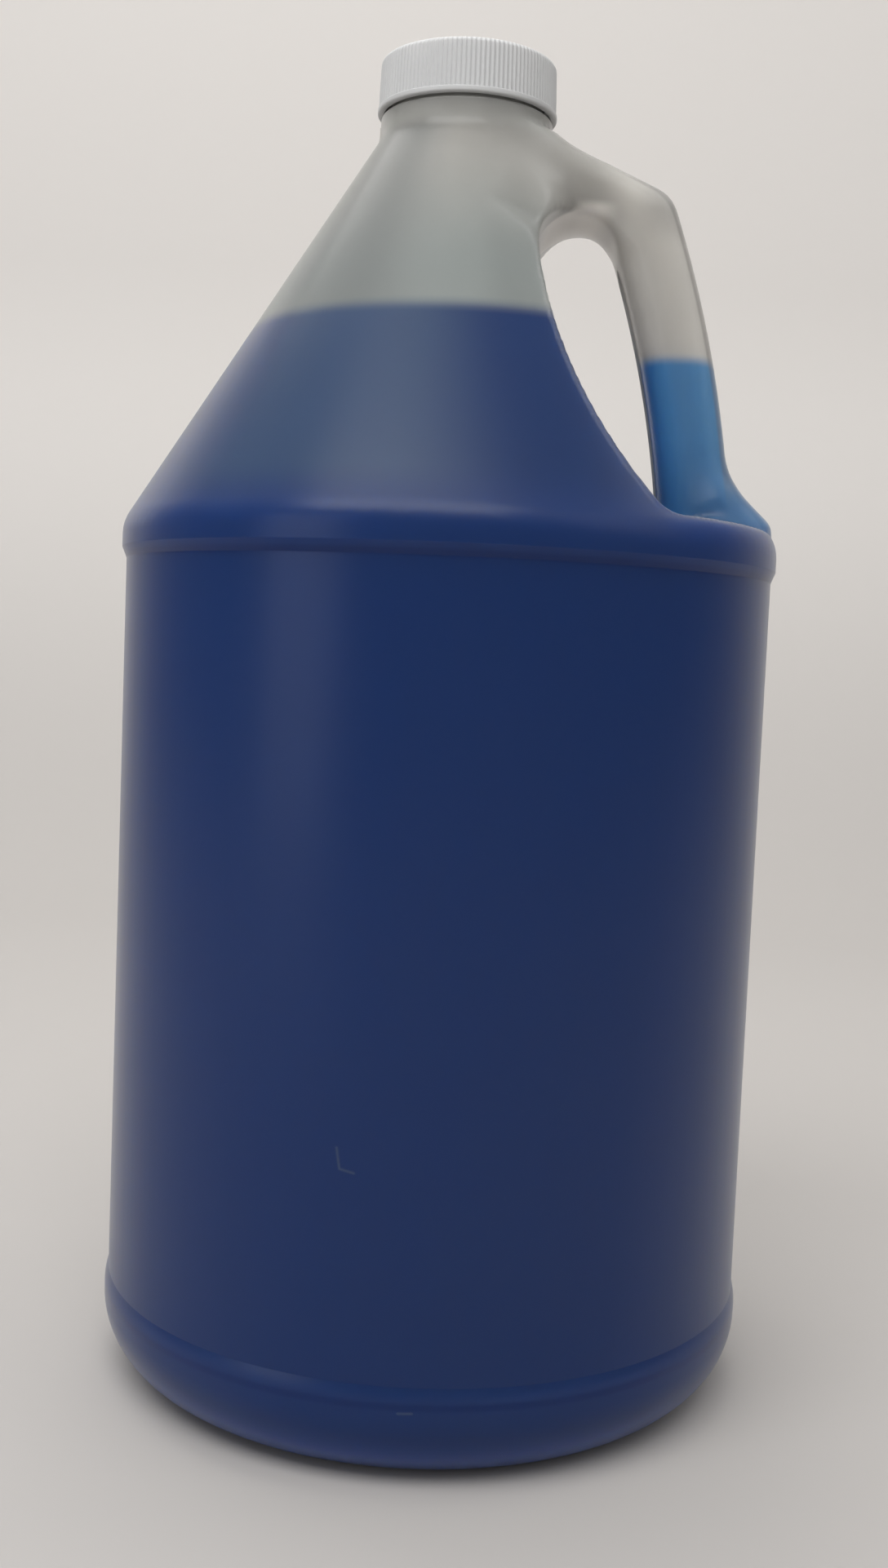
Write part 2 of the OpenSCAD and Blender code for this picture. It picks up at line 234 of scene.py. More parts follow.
class PlaneMap:
    """Values on a fine plane grid, read between its points."""

    def __init__(self, u0, v0, step, nu, nv, make):
        u = (u0 + step * np.arange(nu))[:, None]
        v = (v0 + step * np.arange(nv))[None, :]
        self.u0, self.v0, self.step = u0, v0, step
        self.data = np.broadcast_to(make(u, v), (nu, nv)).astype(float)

    def __call__(self, u, v):
        nu, nv = self.data.shape
        fu = np.clip((u - self.u0) / self.step, 0, nu - 1.001)
        fv = np.clip((v - self.v0) / self.step, 0, nv - 1.001)
        i, j = fu.astype(int), fv.astype(int)
        a, b = fu - i, fv - j
        d = self.data
        return ((d[i, j] * (1 - a) + d[i + 1, j] * a) * (1 - b)
                + (d[i, j + 1] * (1 - a) + d[i + 1, j + 1] * a) * b)


OUTER, INNER, DEPTH = handle_edges()
MAP_STEP, MAP_LEFT, MAP_LOW = 0.5, -82.0, 184.0


def xz_map(make):
    return PlaneMap(MAP_LEFT, MAP_LOW, MAP_STEP, 330, 240, make)


def nearest_depth(u, v):
    """The handle's depth at its nearest place to each point."""
    mid = (OUTER + INNER) / 2
    best, depth = np.full(np.broadcast(u, v).shape, 1e9), np.zeros(np.broadcast(u, v).shape)
    for a, b, da, db in zip(mid[:-1], mid[1:], DEPTH[:-1], DEPTH[1:]):
        e = b - a
        s = np.clip(((u - a[0]) * e[0] + (v - a[1]) * e[1]) / (e @ e), 0, 1)
        d2 = (u - a[0] - s * e[0]) ** 2 + (v - a[1] - s * e[1]) ** 2
        depth = np.where(d2 < best, da + (db - da) * s, depth)
        best = np.minimum(best, d2)
    return depth


# Walking from the collar to the foot, the handle lies to the right of its outer edge
MAP_OUTER = xz_map(lambda u, v: -signed_distance(u, v, OUTER))
MAP_INNER = xz_map(lambda u, v: signed_distance(u, v, INNER))
MAP_DEPTH = xz_map(nearest_depth)
MAP_RECESS = xz_map(lambda u, v: -signed_distance(u, v, recess_edge()))
MAP_BODY = {t: PlaneMap(0.0, MAP_LOW, MAP_STEP, 250, 240,
                        lambda u, v, t=t: -signed_distance(u, v, shoulder_profile(t)))
            for t in (0.0, WALL, WALL + FILL_GAP)}


def oval(x, y, z):
    """How far out of the handle's section a point lies: 0 on its skin, -1 in its middle."""
    a, b = MAP_OUTER(x, z) - SLIM, MAP_INNER(x, z) - SLIM
    u = (b - a) / np.maximum(a + b, 4.0)
    v = 2 * y / MAP_DEPTH(x, z)
    p = SECTION_POWER + ROOF_POWER * fade(z, ARCH_Z - 9, ARCH_Z - 2) * (u < 0)
    return (np.abs(u) ** p + np.abs(v) ** p + 1e-9) ** (1 / p) - 1


def handle_distance(x, y, z):
    """The section's value over its slope, which is close to a distance near the skin."""
    e = 0.4
    f = oval(x, y, z)
    gx = (oval(x + e, y, z) - oval(x - e, y, z)) / (2 * e)
    gy = (oval(x, y + e, z) - oval(x, y - e, z)) / (2 * e)
    gz = (oval(x, y, z + e) - oval(x, y, z - e)) / (2 * e)
    g = np.sqrt(gx * gx + gy * gy + gz * gz)
    return np.maximum(f / np.maximum(g, 0.03), ROOT_X - x)


def smooth_min(a, b, k):
    """The smaller of two distances, with the corner between them rounded over a width k."""
    h = np.maximum(k - np.abs(a - b), 0) / np.maximum(k, 1e-6)
    return np.minimum(a, b) - h * h * k / 4


def fade(v, lo, hi):
    """0 up to lo, 1 from hi on, smooth between them."""
    s = np.clip((v - lo) / (hi - lo), 0, 1)
    return s * s * (3 - 2 * s)


def shoulder_field(p, t):
    """Signed distance of the moulded shoulder, set in by t, negative inside."""
    x, y, z = p[:, 0], p[:, 1], p[:, 2]
    body = MAP_BODY[t](np.hypot(x, y), z)
    high = 1 - fade(z, HIGH_CUT - 3, HIGH_CUT - 0.5)
    dish_y = DISH_Y + DISH_MORE * (1 - fade(x, 17, 27))
    keep = -smooth_min(DISH_W * fade(z, 260, 268) - MAP_RECESS(x, z), np.abs(y) - dish_y, 5.0)
    body = -smooth_min(-body, keep - t, DISH_BLEND * fade(z, 254, 267) * high + 1e-3)
    edge = EDGE_BLEND * high * fade(z, LOW_CUT + 1, LOW_CUT + 7)
    out = -smooth_min(-body, MAP_RECESS(x, z) - t, edge + 1e-3)
    near = x > 0
    q = [v[near] for v in (x, y, z)]
    root = (SEAT_BLEND + (ROOT_BLEND - SEAT_BLEND) * fade(q[2], 218.0, 240.0)) * high[near]
    root = root * fade(q[2], LOW_CUT + 4, LOW_CUT + 16)
    out[near] = smooth_min(out[near], handle_distance(*q) + t, root + 1e-3)
    # The hole keeps its own outline where the joint of handle and cone would fill it
    hole = np.maximum(MAP_RECESS(x, z), MAP_INNER(x, z)) + 0.25
    out = -smooth_min(-out, hole - t, 1.8 * fade(z, ARCH_Z - 12, ARCH_Z - 6) * high + 1e-3)
    return np.maximum(out, np.hypot(x, y) - (BODY_R - t))


def surface_nets(field, step, lo, n):
    """Quads on the field's zero level, one point per cell that it crosses."""
    axes = [lo[i] + step * np.arange(n[i]) for i in range(3)]
    grid = np.stack(np.meshgrid(*axes, indexing="ij"), -1).reshape(-1, 3)
    f = np.concatenate([field(c) for c in np.array_split(grid, 12)]).reshape(n)
    inside = f < 0
    cells = tuple(m - 1 for m in n)
    total, count = np.zeros(cells + (3,)), np.zeros(cells)
    corner = [(i, j, k) for i in (0, 1) for j in (0, 1) for k in (0, 1)]

    def at(a, c):
        return a[c[0]:c[0] + cells[0], c[1]:c[1] + cells[1], c[2]:c[2] + cells[2]]

    for c in corner:
        for ax in range(3):
            if c[ax]:
                continue
            d = tuple(c[i] + (i == ax) for i in range(3))
            fa, fb = at(f, c), at(f, d)
            cross = at(inside, c) != at(inside, d)
            s = np.where(cross, fa / np.where(cross, fa - fb, 1), 0)
            for i in range(3):
                total[..., i] += np.where(cross, c[i] + (s if i == ax else 0), 0)
            count += cross
    used = count > 0
    ids = np.full(cells, -1)
    ids[used] = np.arange(used.sum())
    where = np.argwhere(used)
    verts = (where + total[used] / count[used][:, None]) * step + np.array(lo)
    quads = []
    for ax in range(3):
        b, c = (ax + 1) % 3, (ax + 2) % 3
        lo_s = [slice(None)] * 3
        hi_s = [slice(None)] * 3
        lo_s[ax], hi_s[ax] = slice(0, -1), slice(1, None)
        change = inside[tuple(lo_s)] != inside[tuple(hi_s)]
        at_edge = np.argwhere(change)
        ok = (at_edge[:, b] > 0) & (at_edge[:, c] > 0)
        ok &= (at_edge[:, b] < cells[b]) & (at_edge[:, c] < cells[c])
        at_edge = at_edge[ok]

        def cell(db, dc):
            q = at_edge.copy()
            q[:, b] -= db
            q[:, c] -= dc
            return ids[q[:, 0], q[:, 1], q[:, 2]]

        ring = np.stack([cell(1, 1), cell(0, 1), cell(0, 0), cell(1, 0)], 1)
        starts_in = inside[at_edge[:, 0], at_edge[:, 1], at_edge[:, 2]]
        ring[~starts_in] = ring[~starts_in][:, ::-1]
        quads.append(ring)
    return verts, np.concatenate(quads)


def settle(verts, field, rounds=3):
    """Moves points onto the field's zero level."""
    e = 0.3
    for _ in range(rounds):
        f = field(verts)
        g = np.stack([(field(verts + e * np.eye(3)[i]) - field(verts - e * np.eye(3)[i])) / (2 * e)
                      for i in range(3)], 1)
        g2 = np.maximum((g * g).sum(1), 0.05)
        verts = verts - np.clip(f / g2, -0.6, 0.6)[:, None] * g
    return verts


def shoulder_mesh(t, step, z_top):
    """The free-form shoulder between LOW_CUT and z_top, open at both ends, as a bmesh."""
    lo = np.array([-BODY_R - 3, -BODY_R - 3, LOW_CUT - 2.3 * step])
    n = [int((2 * BODY_R + 6) / step) + 2] * 2 + [int((z_top - lo[2]) / step) + 4]

    def field(p):
        return shoulder_field(p, t)

    verts, quads = surface_nets(field, step, lo, tuple(n))
    verts = settle(verts, field)
    bm = bmesh.new()
    for v in verts:
        bm.verts.new(v)
    bm.verts.ensure_lookup_table()
    for q in quads:
        bm.faces.new([bm.verts[i] for i in q])
    for z, n in ((LOW_CUT, -1), (z_top, 1)):
        bmesh.ops.bisect_plane(bm, geom=bm.verts[:] + bm.edges[:] + bm.faces[:], dist=1e-3,
                               plane_co=(0, 0, z), plane_no=(0, 0, n), clear_outer=True)
    return bm


def chains(edges):
    """The loops or open lines that a set of edges makes, each as its points in order."""
    found = []
    while edges:
        e = edges.pop()
        line = [e.verts[0], e.verts[1]]
        for _ in range(2):
            while True:
                step = next((x for x in line[-1].link_edges if x in edges), None)
                if step is None:
                    break
                edges.discard(step)
                nxt = step.other_vert(line[-1])
                if nxt is line[0]:
                    break
                line.append(nxt)
            line.reverse()
        found.append(line)
    return found


def boundary_rings(bm, z):
    """The open edges that lie at height z, as rings of points."""
    return chains({e for e in bm.edges
                   if e.is_boundary and all(abs(v.co.z - z) < 0.02 for v in e.verts)})


def parting_lines(bm):
    """The skin's outline in the plane where the mould's halves meet, as arrays of (x, z)."""
    cut = bm.copy()
    res = bmesh.ops.bisect_plane(cut, geom=cut.verts[:] + cut.edges[:] + cut.faces[:], dist=1e-4,
                                 plane_co=(0, 0, 0), plane_no=(0, 1, 0))
    found = chains({e for e in res["geom_cut"] if isinstance(e, bmesh.types.BMEdge)})
    lines = [np.array([(v.co.x, v.co.z) for v in line]) for line in found]
    cut.free()
    return [line for line in lines if len(line) > 40]


def ridge(bm, line, out_x, height, foot, crest, step=0.9):
    """A raised line of flash along a plane curve; out_x is the way out at its largest x, and
    height gives how far it stands out at each point."""
    closed = np.linalg.norm(line[0] - line[-1]) < 3.0
    if closed:
        line = np.concatenate([line, line[:1]])
    run = np.concatenate([[0], np.cumsum(np.linalg.norm(np.diff(line, axis=0), axis=1))])
    n = int(run[-1] / step)
    at = np.linspace(0, run[-1], n + 1)[:n if closed else n + 1]
    p = np.stack([np.interp(at, run, line[:, i]) for i in (0, 1)], 1)
    d = np.roll(p, -1, 0) - np.roll(p, 1, 0)
    if not closed:
        d[0], d[-1] = p[1] - p[0], p[-1] - p[-2]
    d = d + (np.roll(d, 1, 0) + np.roll(d, -1, 0)) / 2 if closed else d
    nrm = np.stack([d[:, 1], -d[:, 0]], 1) / np.linalg.norm(d, axis=1)[:, None]
    k = int(np.argmax(p[:, 0]))
    if nrm[k, 0] * out_x < 0:
        nrm = -nrm
    rings = []
    for i, tall in enumerate(height(p)):
        section = [(-SINK, -foot / 2), (tall, -crest / 2), (tall, crest / 2), (-SINK, foot / 2)]
        ring = []
        for h, y in section:
            x, z = p[i] + nrm[i] * h
            ring.append(bm.verts.new((min(max(x, REACH[0]), REACH[1]), y, max(z, 0.0))))
        rings.append(ring)
    if closed:
        rings.append(rings[0])
    else:
        bm.faces.new(rings[0])
        bm.faces.new(rings[-1][::-1])
    for a, b in zip(rings[:-1], rings[1:]):
        for k in range(4):
            bm.faces.new((a[k], b[k], b[(k + 1) % 4], a[(k + 1) % 4]))


def turn(bm, ring, profile, close=False):
    """Carries an open ring on along a turned profile of (radius, height).

    With close it ends in a point on the axis. Gives the last ring."""
    angles = [math.atan2(v.co.y, v.co.x) for v in ring]
    last = ring
    for r, z in profile:
        new = [bm.verts.new((r * math.cos(a), r * math.sin(a), z)) for a in angles]
        for i in range(len(ring)):
            j = (i + 1) % len(ring)
            bm.faces.new((last[i], last[j], new[j], new[i]))
        last = new
    if close:
        tip = bm.verts.new((0, 0, profile[-1][1]))
        for i in range(len(ring)):
            bm.faces.new((last[i], last[(i + 1) % len(ring)], tip))
    return last


def lower_profile(t):
    """From the cut below the shoulder bead down the panel, round the heel and under the base."""
    k = HEEL_ROUND - t
    crown_z = HEEL_H - math.sqrt(2 * HEEL_CROWN * (HEEL_R - PANEL_R))
    half = math.atan((BODY_R - PANEL_R) / SLOPE_H) / 2
    slope = fillet([[BODY_R - t, LOW_CUT], [BODY_R - t, BEAD_Z + SLOPE_H + t * math.tan(half)],
                    [PANEL_R - t, BEAD_Z + t * math.tan(half)], [PANEL_R - t, PAST_LOW]],
                   [0.8, 0.8], 4)[1:-1]
    panel = [[PANEL_R - t, z] for z in np.linspace(180, 34, 14)]
    s = np.linspace(1, 0, 8)[:, None]
    high = HEEL_H - crown_z
    crown = np.concatenate([HEEL_R - t - (HEEL_R - PANEL_R) * s ** 2, crown_z + high * s], 1)
    crease = fillet([panel[-1], crown[0], crown[1]], [0.35], 3)[1:-1]
    heel = arc([HEEL_R - HEEL_ROUND, HEEL_ROUND], k, 0, -90, 22)
    ang = 45.0
    run = (2 * PUSH_ROUND * math.sin(math.radians(ang))
           + (PUSH_H - 2 * PUSH_ROUND * (1 - math.cos(math.radians(ang)))))
    foot = arc([STAND_R, PUSH_ROUND], PUSH_ROUND - t, 270, 270 - ang, 6)
    rise = arc([STAND_R - run, PUSH_H - PUSH_ROUND], PUSH_ROUND + t, 90 - ang, 90, 6)
    flat = [[r, PUSH_H + t] for r in (36.0, 30.0, 22.0, 14.0, 6.0)]
    return np.concatenate([slope, panel, crease, crown[1:], heel[1:], foot, rise, flat])


def stitch(bm, a, b):
    """Closes the gap between two rings of different point counts."""
    loops = [[bm.edges.get((r[i], r[(i + 1) % len(r)])) for i in range(len(r))] for r in (a, b)]
    bmesh.ops.bridge_loops(bm, edges=loops[0] + loops[1])


def helix(bm, root, crest, root_w, crest_w, z0, a0, turns):
    """A ridge of thread from radius root to radius crest, run out at both ends."""
    steps, run_out = 72, 8
    n = round(turns * steps)
    out = 1 if crest > root else -1
    rings = []
    for i in range(n + 1):
        a = math.radians(a0 + 360 * i / steps)
        z = z0 + PITCH * i / steps
        f = min(1, i / run_out, (n - i) / run_out)
        f = f * f * (3 - 2 * f)
        tip = root + (crest - root) * f - out * SINK * (1 - f) / 2
        prof = [(root - out * SINK, -root_w / 2), (tip, -crest_w / 2), (tip, crest_w / 2),
                (root - out * SINK, root_w / 2)]
        rings.append([bm.verts.new((r * math.cos(a), r * math.sin(a), z + out * w))
                      for r, w in prof])
    for p, q in zip(rings[:-1], rings[1:]):
        for k in range(4):
            bm.faces.new((p[k], q[k], q[(k + 1) % 4], p[(k + 1) % 4]))
    bm.faces.new(rings[0])
    bm.faces.new(rings[-1][::-1])


def finish_piece(bm, name, materials, body, node, smooth_angle=40.0):
    """Makes the object of a piece from its bmesh and gives it its place in the part."""
    bmesh.ops.recalc_face_normals(bm, faces=bm.faces[:])
    bmesh.ops.scale(bm, vec=(MM, MM, MM), verts=bm.verts[:])
    mesh = bpy.data.meshes.new(name)
    bm.to_mesh(mesh)
    bm.free()
    for f in mesh.polygons:
        f.use_smooth = True
    mesh.set_sharp_from_angle(angle=math.radians(smooth_angle))
    for m in materials:
        mesh.materials.append(m)
    obj = bpy.data.objects.new(name, mesh)
    bpy.context.scene.collection.objects.link(obj)
    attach(obj, body)
    if node:
        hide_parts(node)


# ---- Materials ----
class Nodes:
    """A material's node tree, with short calls for the nodes that these materials share."""

    def __init__(self, name):
        self.mat = bpy.data.materials.new(name)
        self.mat.use_nodes = True
        self.tree = self.mat.node_tree
        self.tree.nodes.clear()
        self.out = self.tree.nodes.new("ShaderNodeOutputMaterial")
        self.place = self.tree.nodes.new("ShaderNodeTexCoord").outputs["Object"]
        split = self.tree.nodes.new("ShaderNodeSeparateXYZ")
        self.tree.links.new(self.place, split.inputs[0])
        self.xyz = split.outputs

    def put(self, socket, value):
        if isinstance(value, bpy.types.NodeSocket):
            self.tree.links.new(value, socket)
        elif value is not None:
            socket.default_value = value

    def node(self, kind, **inputs):
        n = self.tree.nodes.new(kind)
        for key, value in inputs.items():
            self.put(n.inputs[key.replace("_", " ")], value)
        return n

    def math(self, op, a, b=None, c=None):
        n = self.tree.nodes.new("ShaderNodeMath")
        n.operation = op
        for i, v in enumerate((a, b, c)):
            self.put(n.inputs[i], v)
        return n.outputs[0]

    def product(self, *factors):
        total = factors[0]
        for factor in factors[1:]:
            total = self.math("MULTIPLY", total, factor)
        return total

    def ramp(self, value, lo, hi, to_lo=0.0, to_hi=1.0, smooth=True):
        """From to_lo where value is lo to to_hi where it is hi; lo may be the larger one."""
        n = self.tree.nodes.new("ShaderNodeMapRange")
        n.interpolation_type = "SMOOTHSTEP" if smooth else "LINEAR"
        for i, v in enumerate((value, lo, hi, to_lo, to_hi)):
            self.put(n.inputs[i], v)
        return n.outputs[0]

    def mix(self, fac, a, b):
        n = self.tree.nodes.new("ShaderNodeMix")
        n.data_type = "RGBA"
        for i, v in ((0, fac), (6, a), (7, b)):
            self.put(n.inputs[i], v)
        return n.outputs[2]

    def noise(self, scale, detail=2.0, rough=0.5, stretch=(1, 1, 1)):
        m = self.tree.nodes.new("ShaderNodeMapping")
        self.put(m.inputs["Vector"], self.place)
        m.inputs["Scale"].default_value = stretch
        n = self.node("ShaderNodeTexNoise", Scale=scale, Detail=detail, Roughness=rough)
        self.put(n.inputs["Vector"], m.outputs[0])
        return n.outputs["Fac"]

    def bump(self, height, strength, distance):
        n = self.node("ShaderNodeBump", Height=height, Strength=strength, Distance=distance)
        return n.outputs[0]

    def surface(self, **inputs):
        """Gives the material its one Principled shader and hands the material back."""
        p = self.node("ShaderNodeBsdfPrincipled", **inputs)
        self.tree.links.new(p.outputs[0], self.out.inputs["Surface"])
        return self.mat


def rgb(r, g, b):
    return (r, g, b, 1.0)


# The dry wall: cone, its top, collar, handle's arm and grip, underside of the hole's arch. Its
# paler tones high on the cone, in collar, arm and grip, under the arch and along the hole are
# painted light shining through the plastic; its flank, rim and corner tones are painted shade, the
# cloud tone is random mottling
MILK = rgb(0.262, 0.288, 0.279)
MILK_HIGH_LIT = rgb(0.375, 0.365, 0.342)
MILK_COLLAR_LIT = rgb(0.435, 0.432, 0.41)
MILK_ARM_LIT = rgb(0.345, 0.333, 0.31)
MILK_GRIP_LIT = rgb(0.535, 0.512, 0.477)
MILK_ARCH_LIT = rgb(0.74, 0.705, 0.66)
MILK_SHADE, MILK_CLOUD = rgb(0.12, 0.13, 0.13), rgb(0.16, 0.17, 0.17)
MILK_HOLE_EDGE_LIT, MILK_RIM_SHADE = rgb(0.80, 0.77, 0.72), rgb(0.10, 0.10, 0.10)
MILK_CORNER_SHADE = rgb(0.15, 0.15, 0.145)
# The wetted wall and the liquid: low and high on the body, cone, heel, handle, with painted light
# in the heel's and the hole edge's lighter blues. Then random clouding, a painted sheen, painted
# shade along the handle's outline, a painted highlight on the ledge's edge, a scratch and painted
# shade in the creases
NAVY = rgb(0.0080, 0.0320, 0.138)
NAVY_HIGH = rgb(0.0065, 0.0325, 0.150)
CONE_BLUE = rgb(0.0030, 0.0260, 0.120)
HEEL_BLUE_LIT = rgb(0.0040, 0.0450, 0.250)
THIN_BLUE = rgb(0.095, 0.250, 0.460)
THIN_EDGE_LIT = rgb(0.095, 0.330, 0.680)
BLUE_CLOUD, BLUE_PAINTED_SHEEN = rgb(0.03, 0.05, 0.12), rgb(0.023, 0.058, 0.137)
BLUE_RIM_SHADE, LEDGE_HIGHLIGHT = rgb(0.10, 0.155, 0.24), rgb(0.13, 0.14, 0.17)
SCRATCH, CREASE_SHADE = rgb(0.10, 0.13, 0.17), rgb(0.0, 0.012, 0.10)


def grip_edges(n):
    """How far in a point lies from the handle's outline and from the hole's, in the side view."""
    x, _, z = n.xyz
    dx, dz = (n.math("SUBTRACT", v, c * MM) for v, c in zip((x, z), GRIP_C))
    run = n.math("SQRT", n.math("MULTIPLY_ADD", dx, dx, n.math("MULTIPLY", dz, dz)))
    grip = n.math("SUBTRACT", GRIP_R * MM, run)
    up = unit(90 - ARM_SLOPE)
    arm = n.math("MULTIPLY_ADD", x, -up[0], (up @ ARM_TOP) * MM)
    arm = n.math("MULTIPLY_ADD", z, -up[1], arm)
    return n.math("SMOOTH_MIN", grip, arm, 0.0056), n.math("SUBTRACT", run, HOLE_R * MM)


def stroke(n, a, b, width):
    """A soft line from a to b, each (x, z), as seen from the front."""
    x, _, z = n.xyz
    a, d = np.array(a), np.array(b) - np.array(a)
    u = n.math("MULTIPLY_ADD", x, d[0] / (d @ d), -(a @ d) / (d @ d))
    u = n.math("MULTIPLY_ADD", z, d[1] / (d @ d), u)
    u = n.ramp(u, 0.0, 1.0, smooth=False)
    ex = n.math("SUBTRACT", n.math("MULTIPLY_ADD", u, -d[0], x), a[0])
    ez = n.math("SUBTRACT", n.math("MULTIPLY_ADD", u, -d[1], z), a[1])
    gap = n.math("SQRT", n.math("MULTIPLY_ADD", ex, ex, n.math("MULTIPLY", ez, ez)))
    return n.ramp(gap, width, 0.0)


def scratches(n):
    """A bent scratch low on the panel and a short pale line on the heel, both at the front."""
    width, bent = 0.00045, ((-0.0175, 0.0709), (-0.0168, 0.0667), (-0.0139, 0.0661))
    short = ((-0.0033, 0.01817), (-0.0005, 0.0183))
    total = stroke(n, *short, width)
    for a, b in zip(bent[:-1], bent[1:]):
        total = n.math("MAXIMUM", total, stroke(n, a, b, width))
    return n.product(total, n.ramp(n.xyz[1], -0.05, -0.06))


def liquid_colour(n, inner):
    """Dark where the liquid is deep, a little deeper blue higher up, lighter in the handle, with
    painted light as a lighter blue low on the heel and a brighter blue along the hole's edge.

    inner is the distance from the hole's outline, in towards the grip."""
    x, y, z = n.xyz
    deep = n.mix(n.ramp(z, 0.02, 0.2), NAVY, NAVY_HIGH)
    deep = n.mix(n.ramp(z, 0.194, 0.208), deep, CONE_BLUE)
    # Painted light: lighter blue low on the heel, which faces down away from the lamps
    deep = n.mix(n.ramp(z, 0.013, 0.005), deep, HEEL_BLUE_LIT)
    # The handle's liquid reaches a little below the recess floor in the handle's own foot
    in_foot = n.ramp(n.math("ABSOLUTE", y), 0.026, 0.019)
    above_floor = n.ramp(n.math("MULTIPLY_ADD", in_foot, 0.003, z), 0.1995, 0.2055)
    past_hole = n.ramp(inner, -0.003, -0.001)
    thin = n.product(above_floor, n.ramp(x, 0.0375, 0.0405), in_foot, past_hole,
                     n.ramp(z, 0.203, 0.222, 0.62, 1.0))
    # Painted light: brighter blue along the hole's edge, over the grip's shaded inner side
    return n.mix(thin, deep, n.mix(n.ramp(inner, 0.008, 0.0), THIN_BLUE, THIN_EDGE_LIT))


def milk_colour(n, cloud, lean, inner, rim):
    """The dry wall, paler where painted light shows through the plastic high on the cone, in
    collar, arm and grip, under the arch and along the hole, with painted shade on the cone's
    flanks, along the handle's outline and on the grip's top corner.

    lean is how far round the cone's side a point lies, rim marks the handle's outline for its
    painted shade."""
    x, y, z = n.xyz
    # Painted light: the cone's top is paler where light shows through the plastic
    milk = n.mix(n.ramp(n.math("MULTIPLY_ADD", cloud, 0.02, z), 0.255, 0.29), MILK, MILK_HIGH_LIT)
    # Painted shade on the cone's left flank, and on its right flank below the arm
    milk = n.mix(n.ramp(lean, -0.03, -0.33, 0.0, 0.6), milk, MILK_SHADE)
    below_arm = n.ramp(z, 0.268, 0.255)
    milk = n.mix(n.product(n.ramp(lean, 0.03, 0.15, 0.0, 0.22), below_arm), milk, MILK_SHADE)
    # Painted light: the collar paler still, as if lit through
    milk = n.mix(n.ramp(z, 0.284, 0.2885), milk, MILK_COLLAR_LIT)
    # Painted light: arm and grip paler where light shows through the thin handle
    milk = n.mix(n.ramp(x, 0.016, 0.026), milk, MILK_ARM_LIT)
    milk = n.mix(n.ramp(x, 0.028, 0.041), milk, MILK_GRIP_LIT)
    # Painted light: the arch's shaded underside made pale as if lit through the plastic
    arch_underside_lit = n.product(n.ramp(z, 0.2728, 0.2706), n.ramp(z, 0.258, 0.264),
                           n.ramp(n.math("ABSOLUTE", y), 0.0145, 0.012),
                           n.ramp(x, 0.0165, 0.020), n.ramp(x, 0.036, 0.030))
    milk = n.mix(arch_underside_lit, milk, MILK_ARCH_LIT)
    fine_cloud = n.noise(22.0, 4.0, 0.6, (1, 1, 0.4))
    milk = n.mix(n.ramp(fine_cloud, 0.3, 0.75, 0.0, 0.16), milk, MILK_CLOUD)
    # Painted light along the grip's edge at the hole, over its shaded side
    hole_edge_lit = n.product(n.ramp(inner, 0.0065, 0.0005), n.ramp(z, 0.270, 0.262),
                           n.ramp(x, 0.032, 0.036, 0.0, 0.5))
    milk = n.mix(hole_edge_lit, milk, MILK_HOLE_EDGE_LIT)
    # Painted shade along the handle's outline
    milk = n.mix(n.product(rim, 0.42), milk, MILK_RIM_SHADE)
    # Painted shade on the grip's top corner, which faces the lamps
    corner = n.product(n.ramp(z, 0.262, 0.273), n.ramp(x, 0.036, 0.046), 0.5)
    return n.mix(corner, milk, MILK_CORNER_SHADE)


def wet_colour(n, cloud, lean, inner, rim):
    """The wall where the liquid wets it: the liquid's colour with random clouding, a painted sheen
    on the cone's left, a painted highlight on the ledge's edge, painted shade along the handle's
    outline and in the creases, and the marks at the front.
    """
    x, y, z = n.xyz
    blue = n.mix(n.ramp(cloud, 0.3, 0.7, 0.0, 0.16), liquid_colour(n, inner), BLUE_CLOUD)
    # Painted sheen on the cone's left side above the bead
    painted_sheen = n.product(n.ramp(lean, 0.12, -0.12), n.ramp(z, 0.197, 0.207),
                     n.ramp(lean, -0.56, -0.38))
    blue = n.mix(painted_sheen, blue, BLUE_PAINTED_SHEEN)
    # Painted highlight along the ledge's rounded edge
    ledge_highlight = n.product(n.ramp(z, 0.1979, 0.1990), n.ramp(x, 0.040, 0.050),
                      n.ramp(z, 0.2006, 0.2000), n.ramp(n.math("ABSOLUTE", y), 0.012, 0.020), 0.5)
    blue = n.mix(ledge_highlight, blue, LEDGE_HIGHLIGHT)
    # Painted shade along the handle's outline
    blue = n.mix(n.product(rim, 0.7), blue, BLUE_RIM_SHADE)
    blue = n.mix(n.product(scratches(n), 0.5), blue, SCRATCH)
    # Painted shade in the creases under the shoulder bead and over the heel
    for crease in (BEAD_Z + 0.5, HEEL_H - 3.8):
        away = n.math("ABSOLUTE", n.math("SUBTRACT", z, crease * MM))
        blue = n.mix(n.ramp(away, 0.0012, 0.0002, 0.0, 0.5), blue, CREASE_SHADE)
    return blue


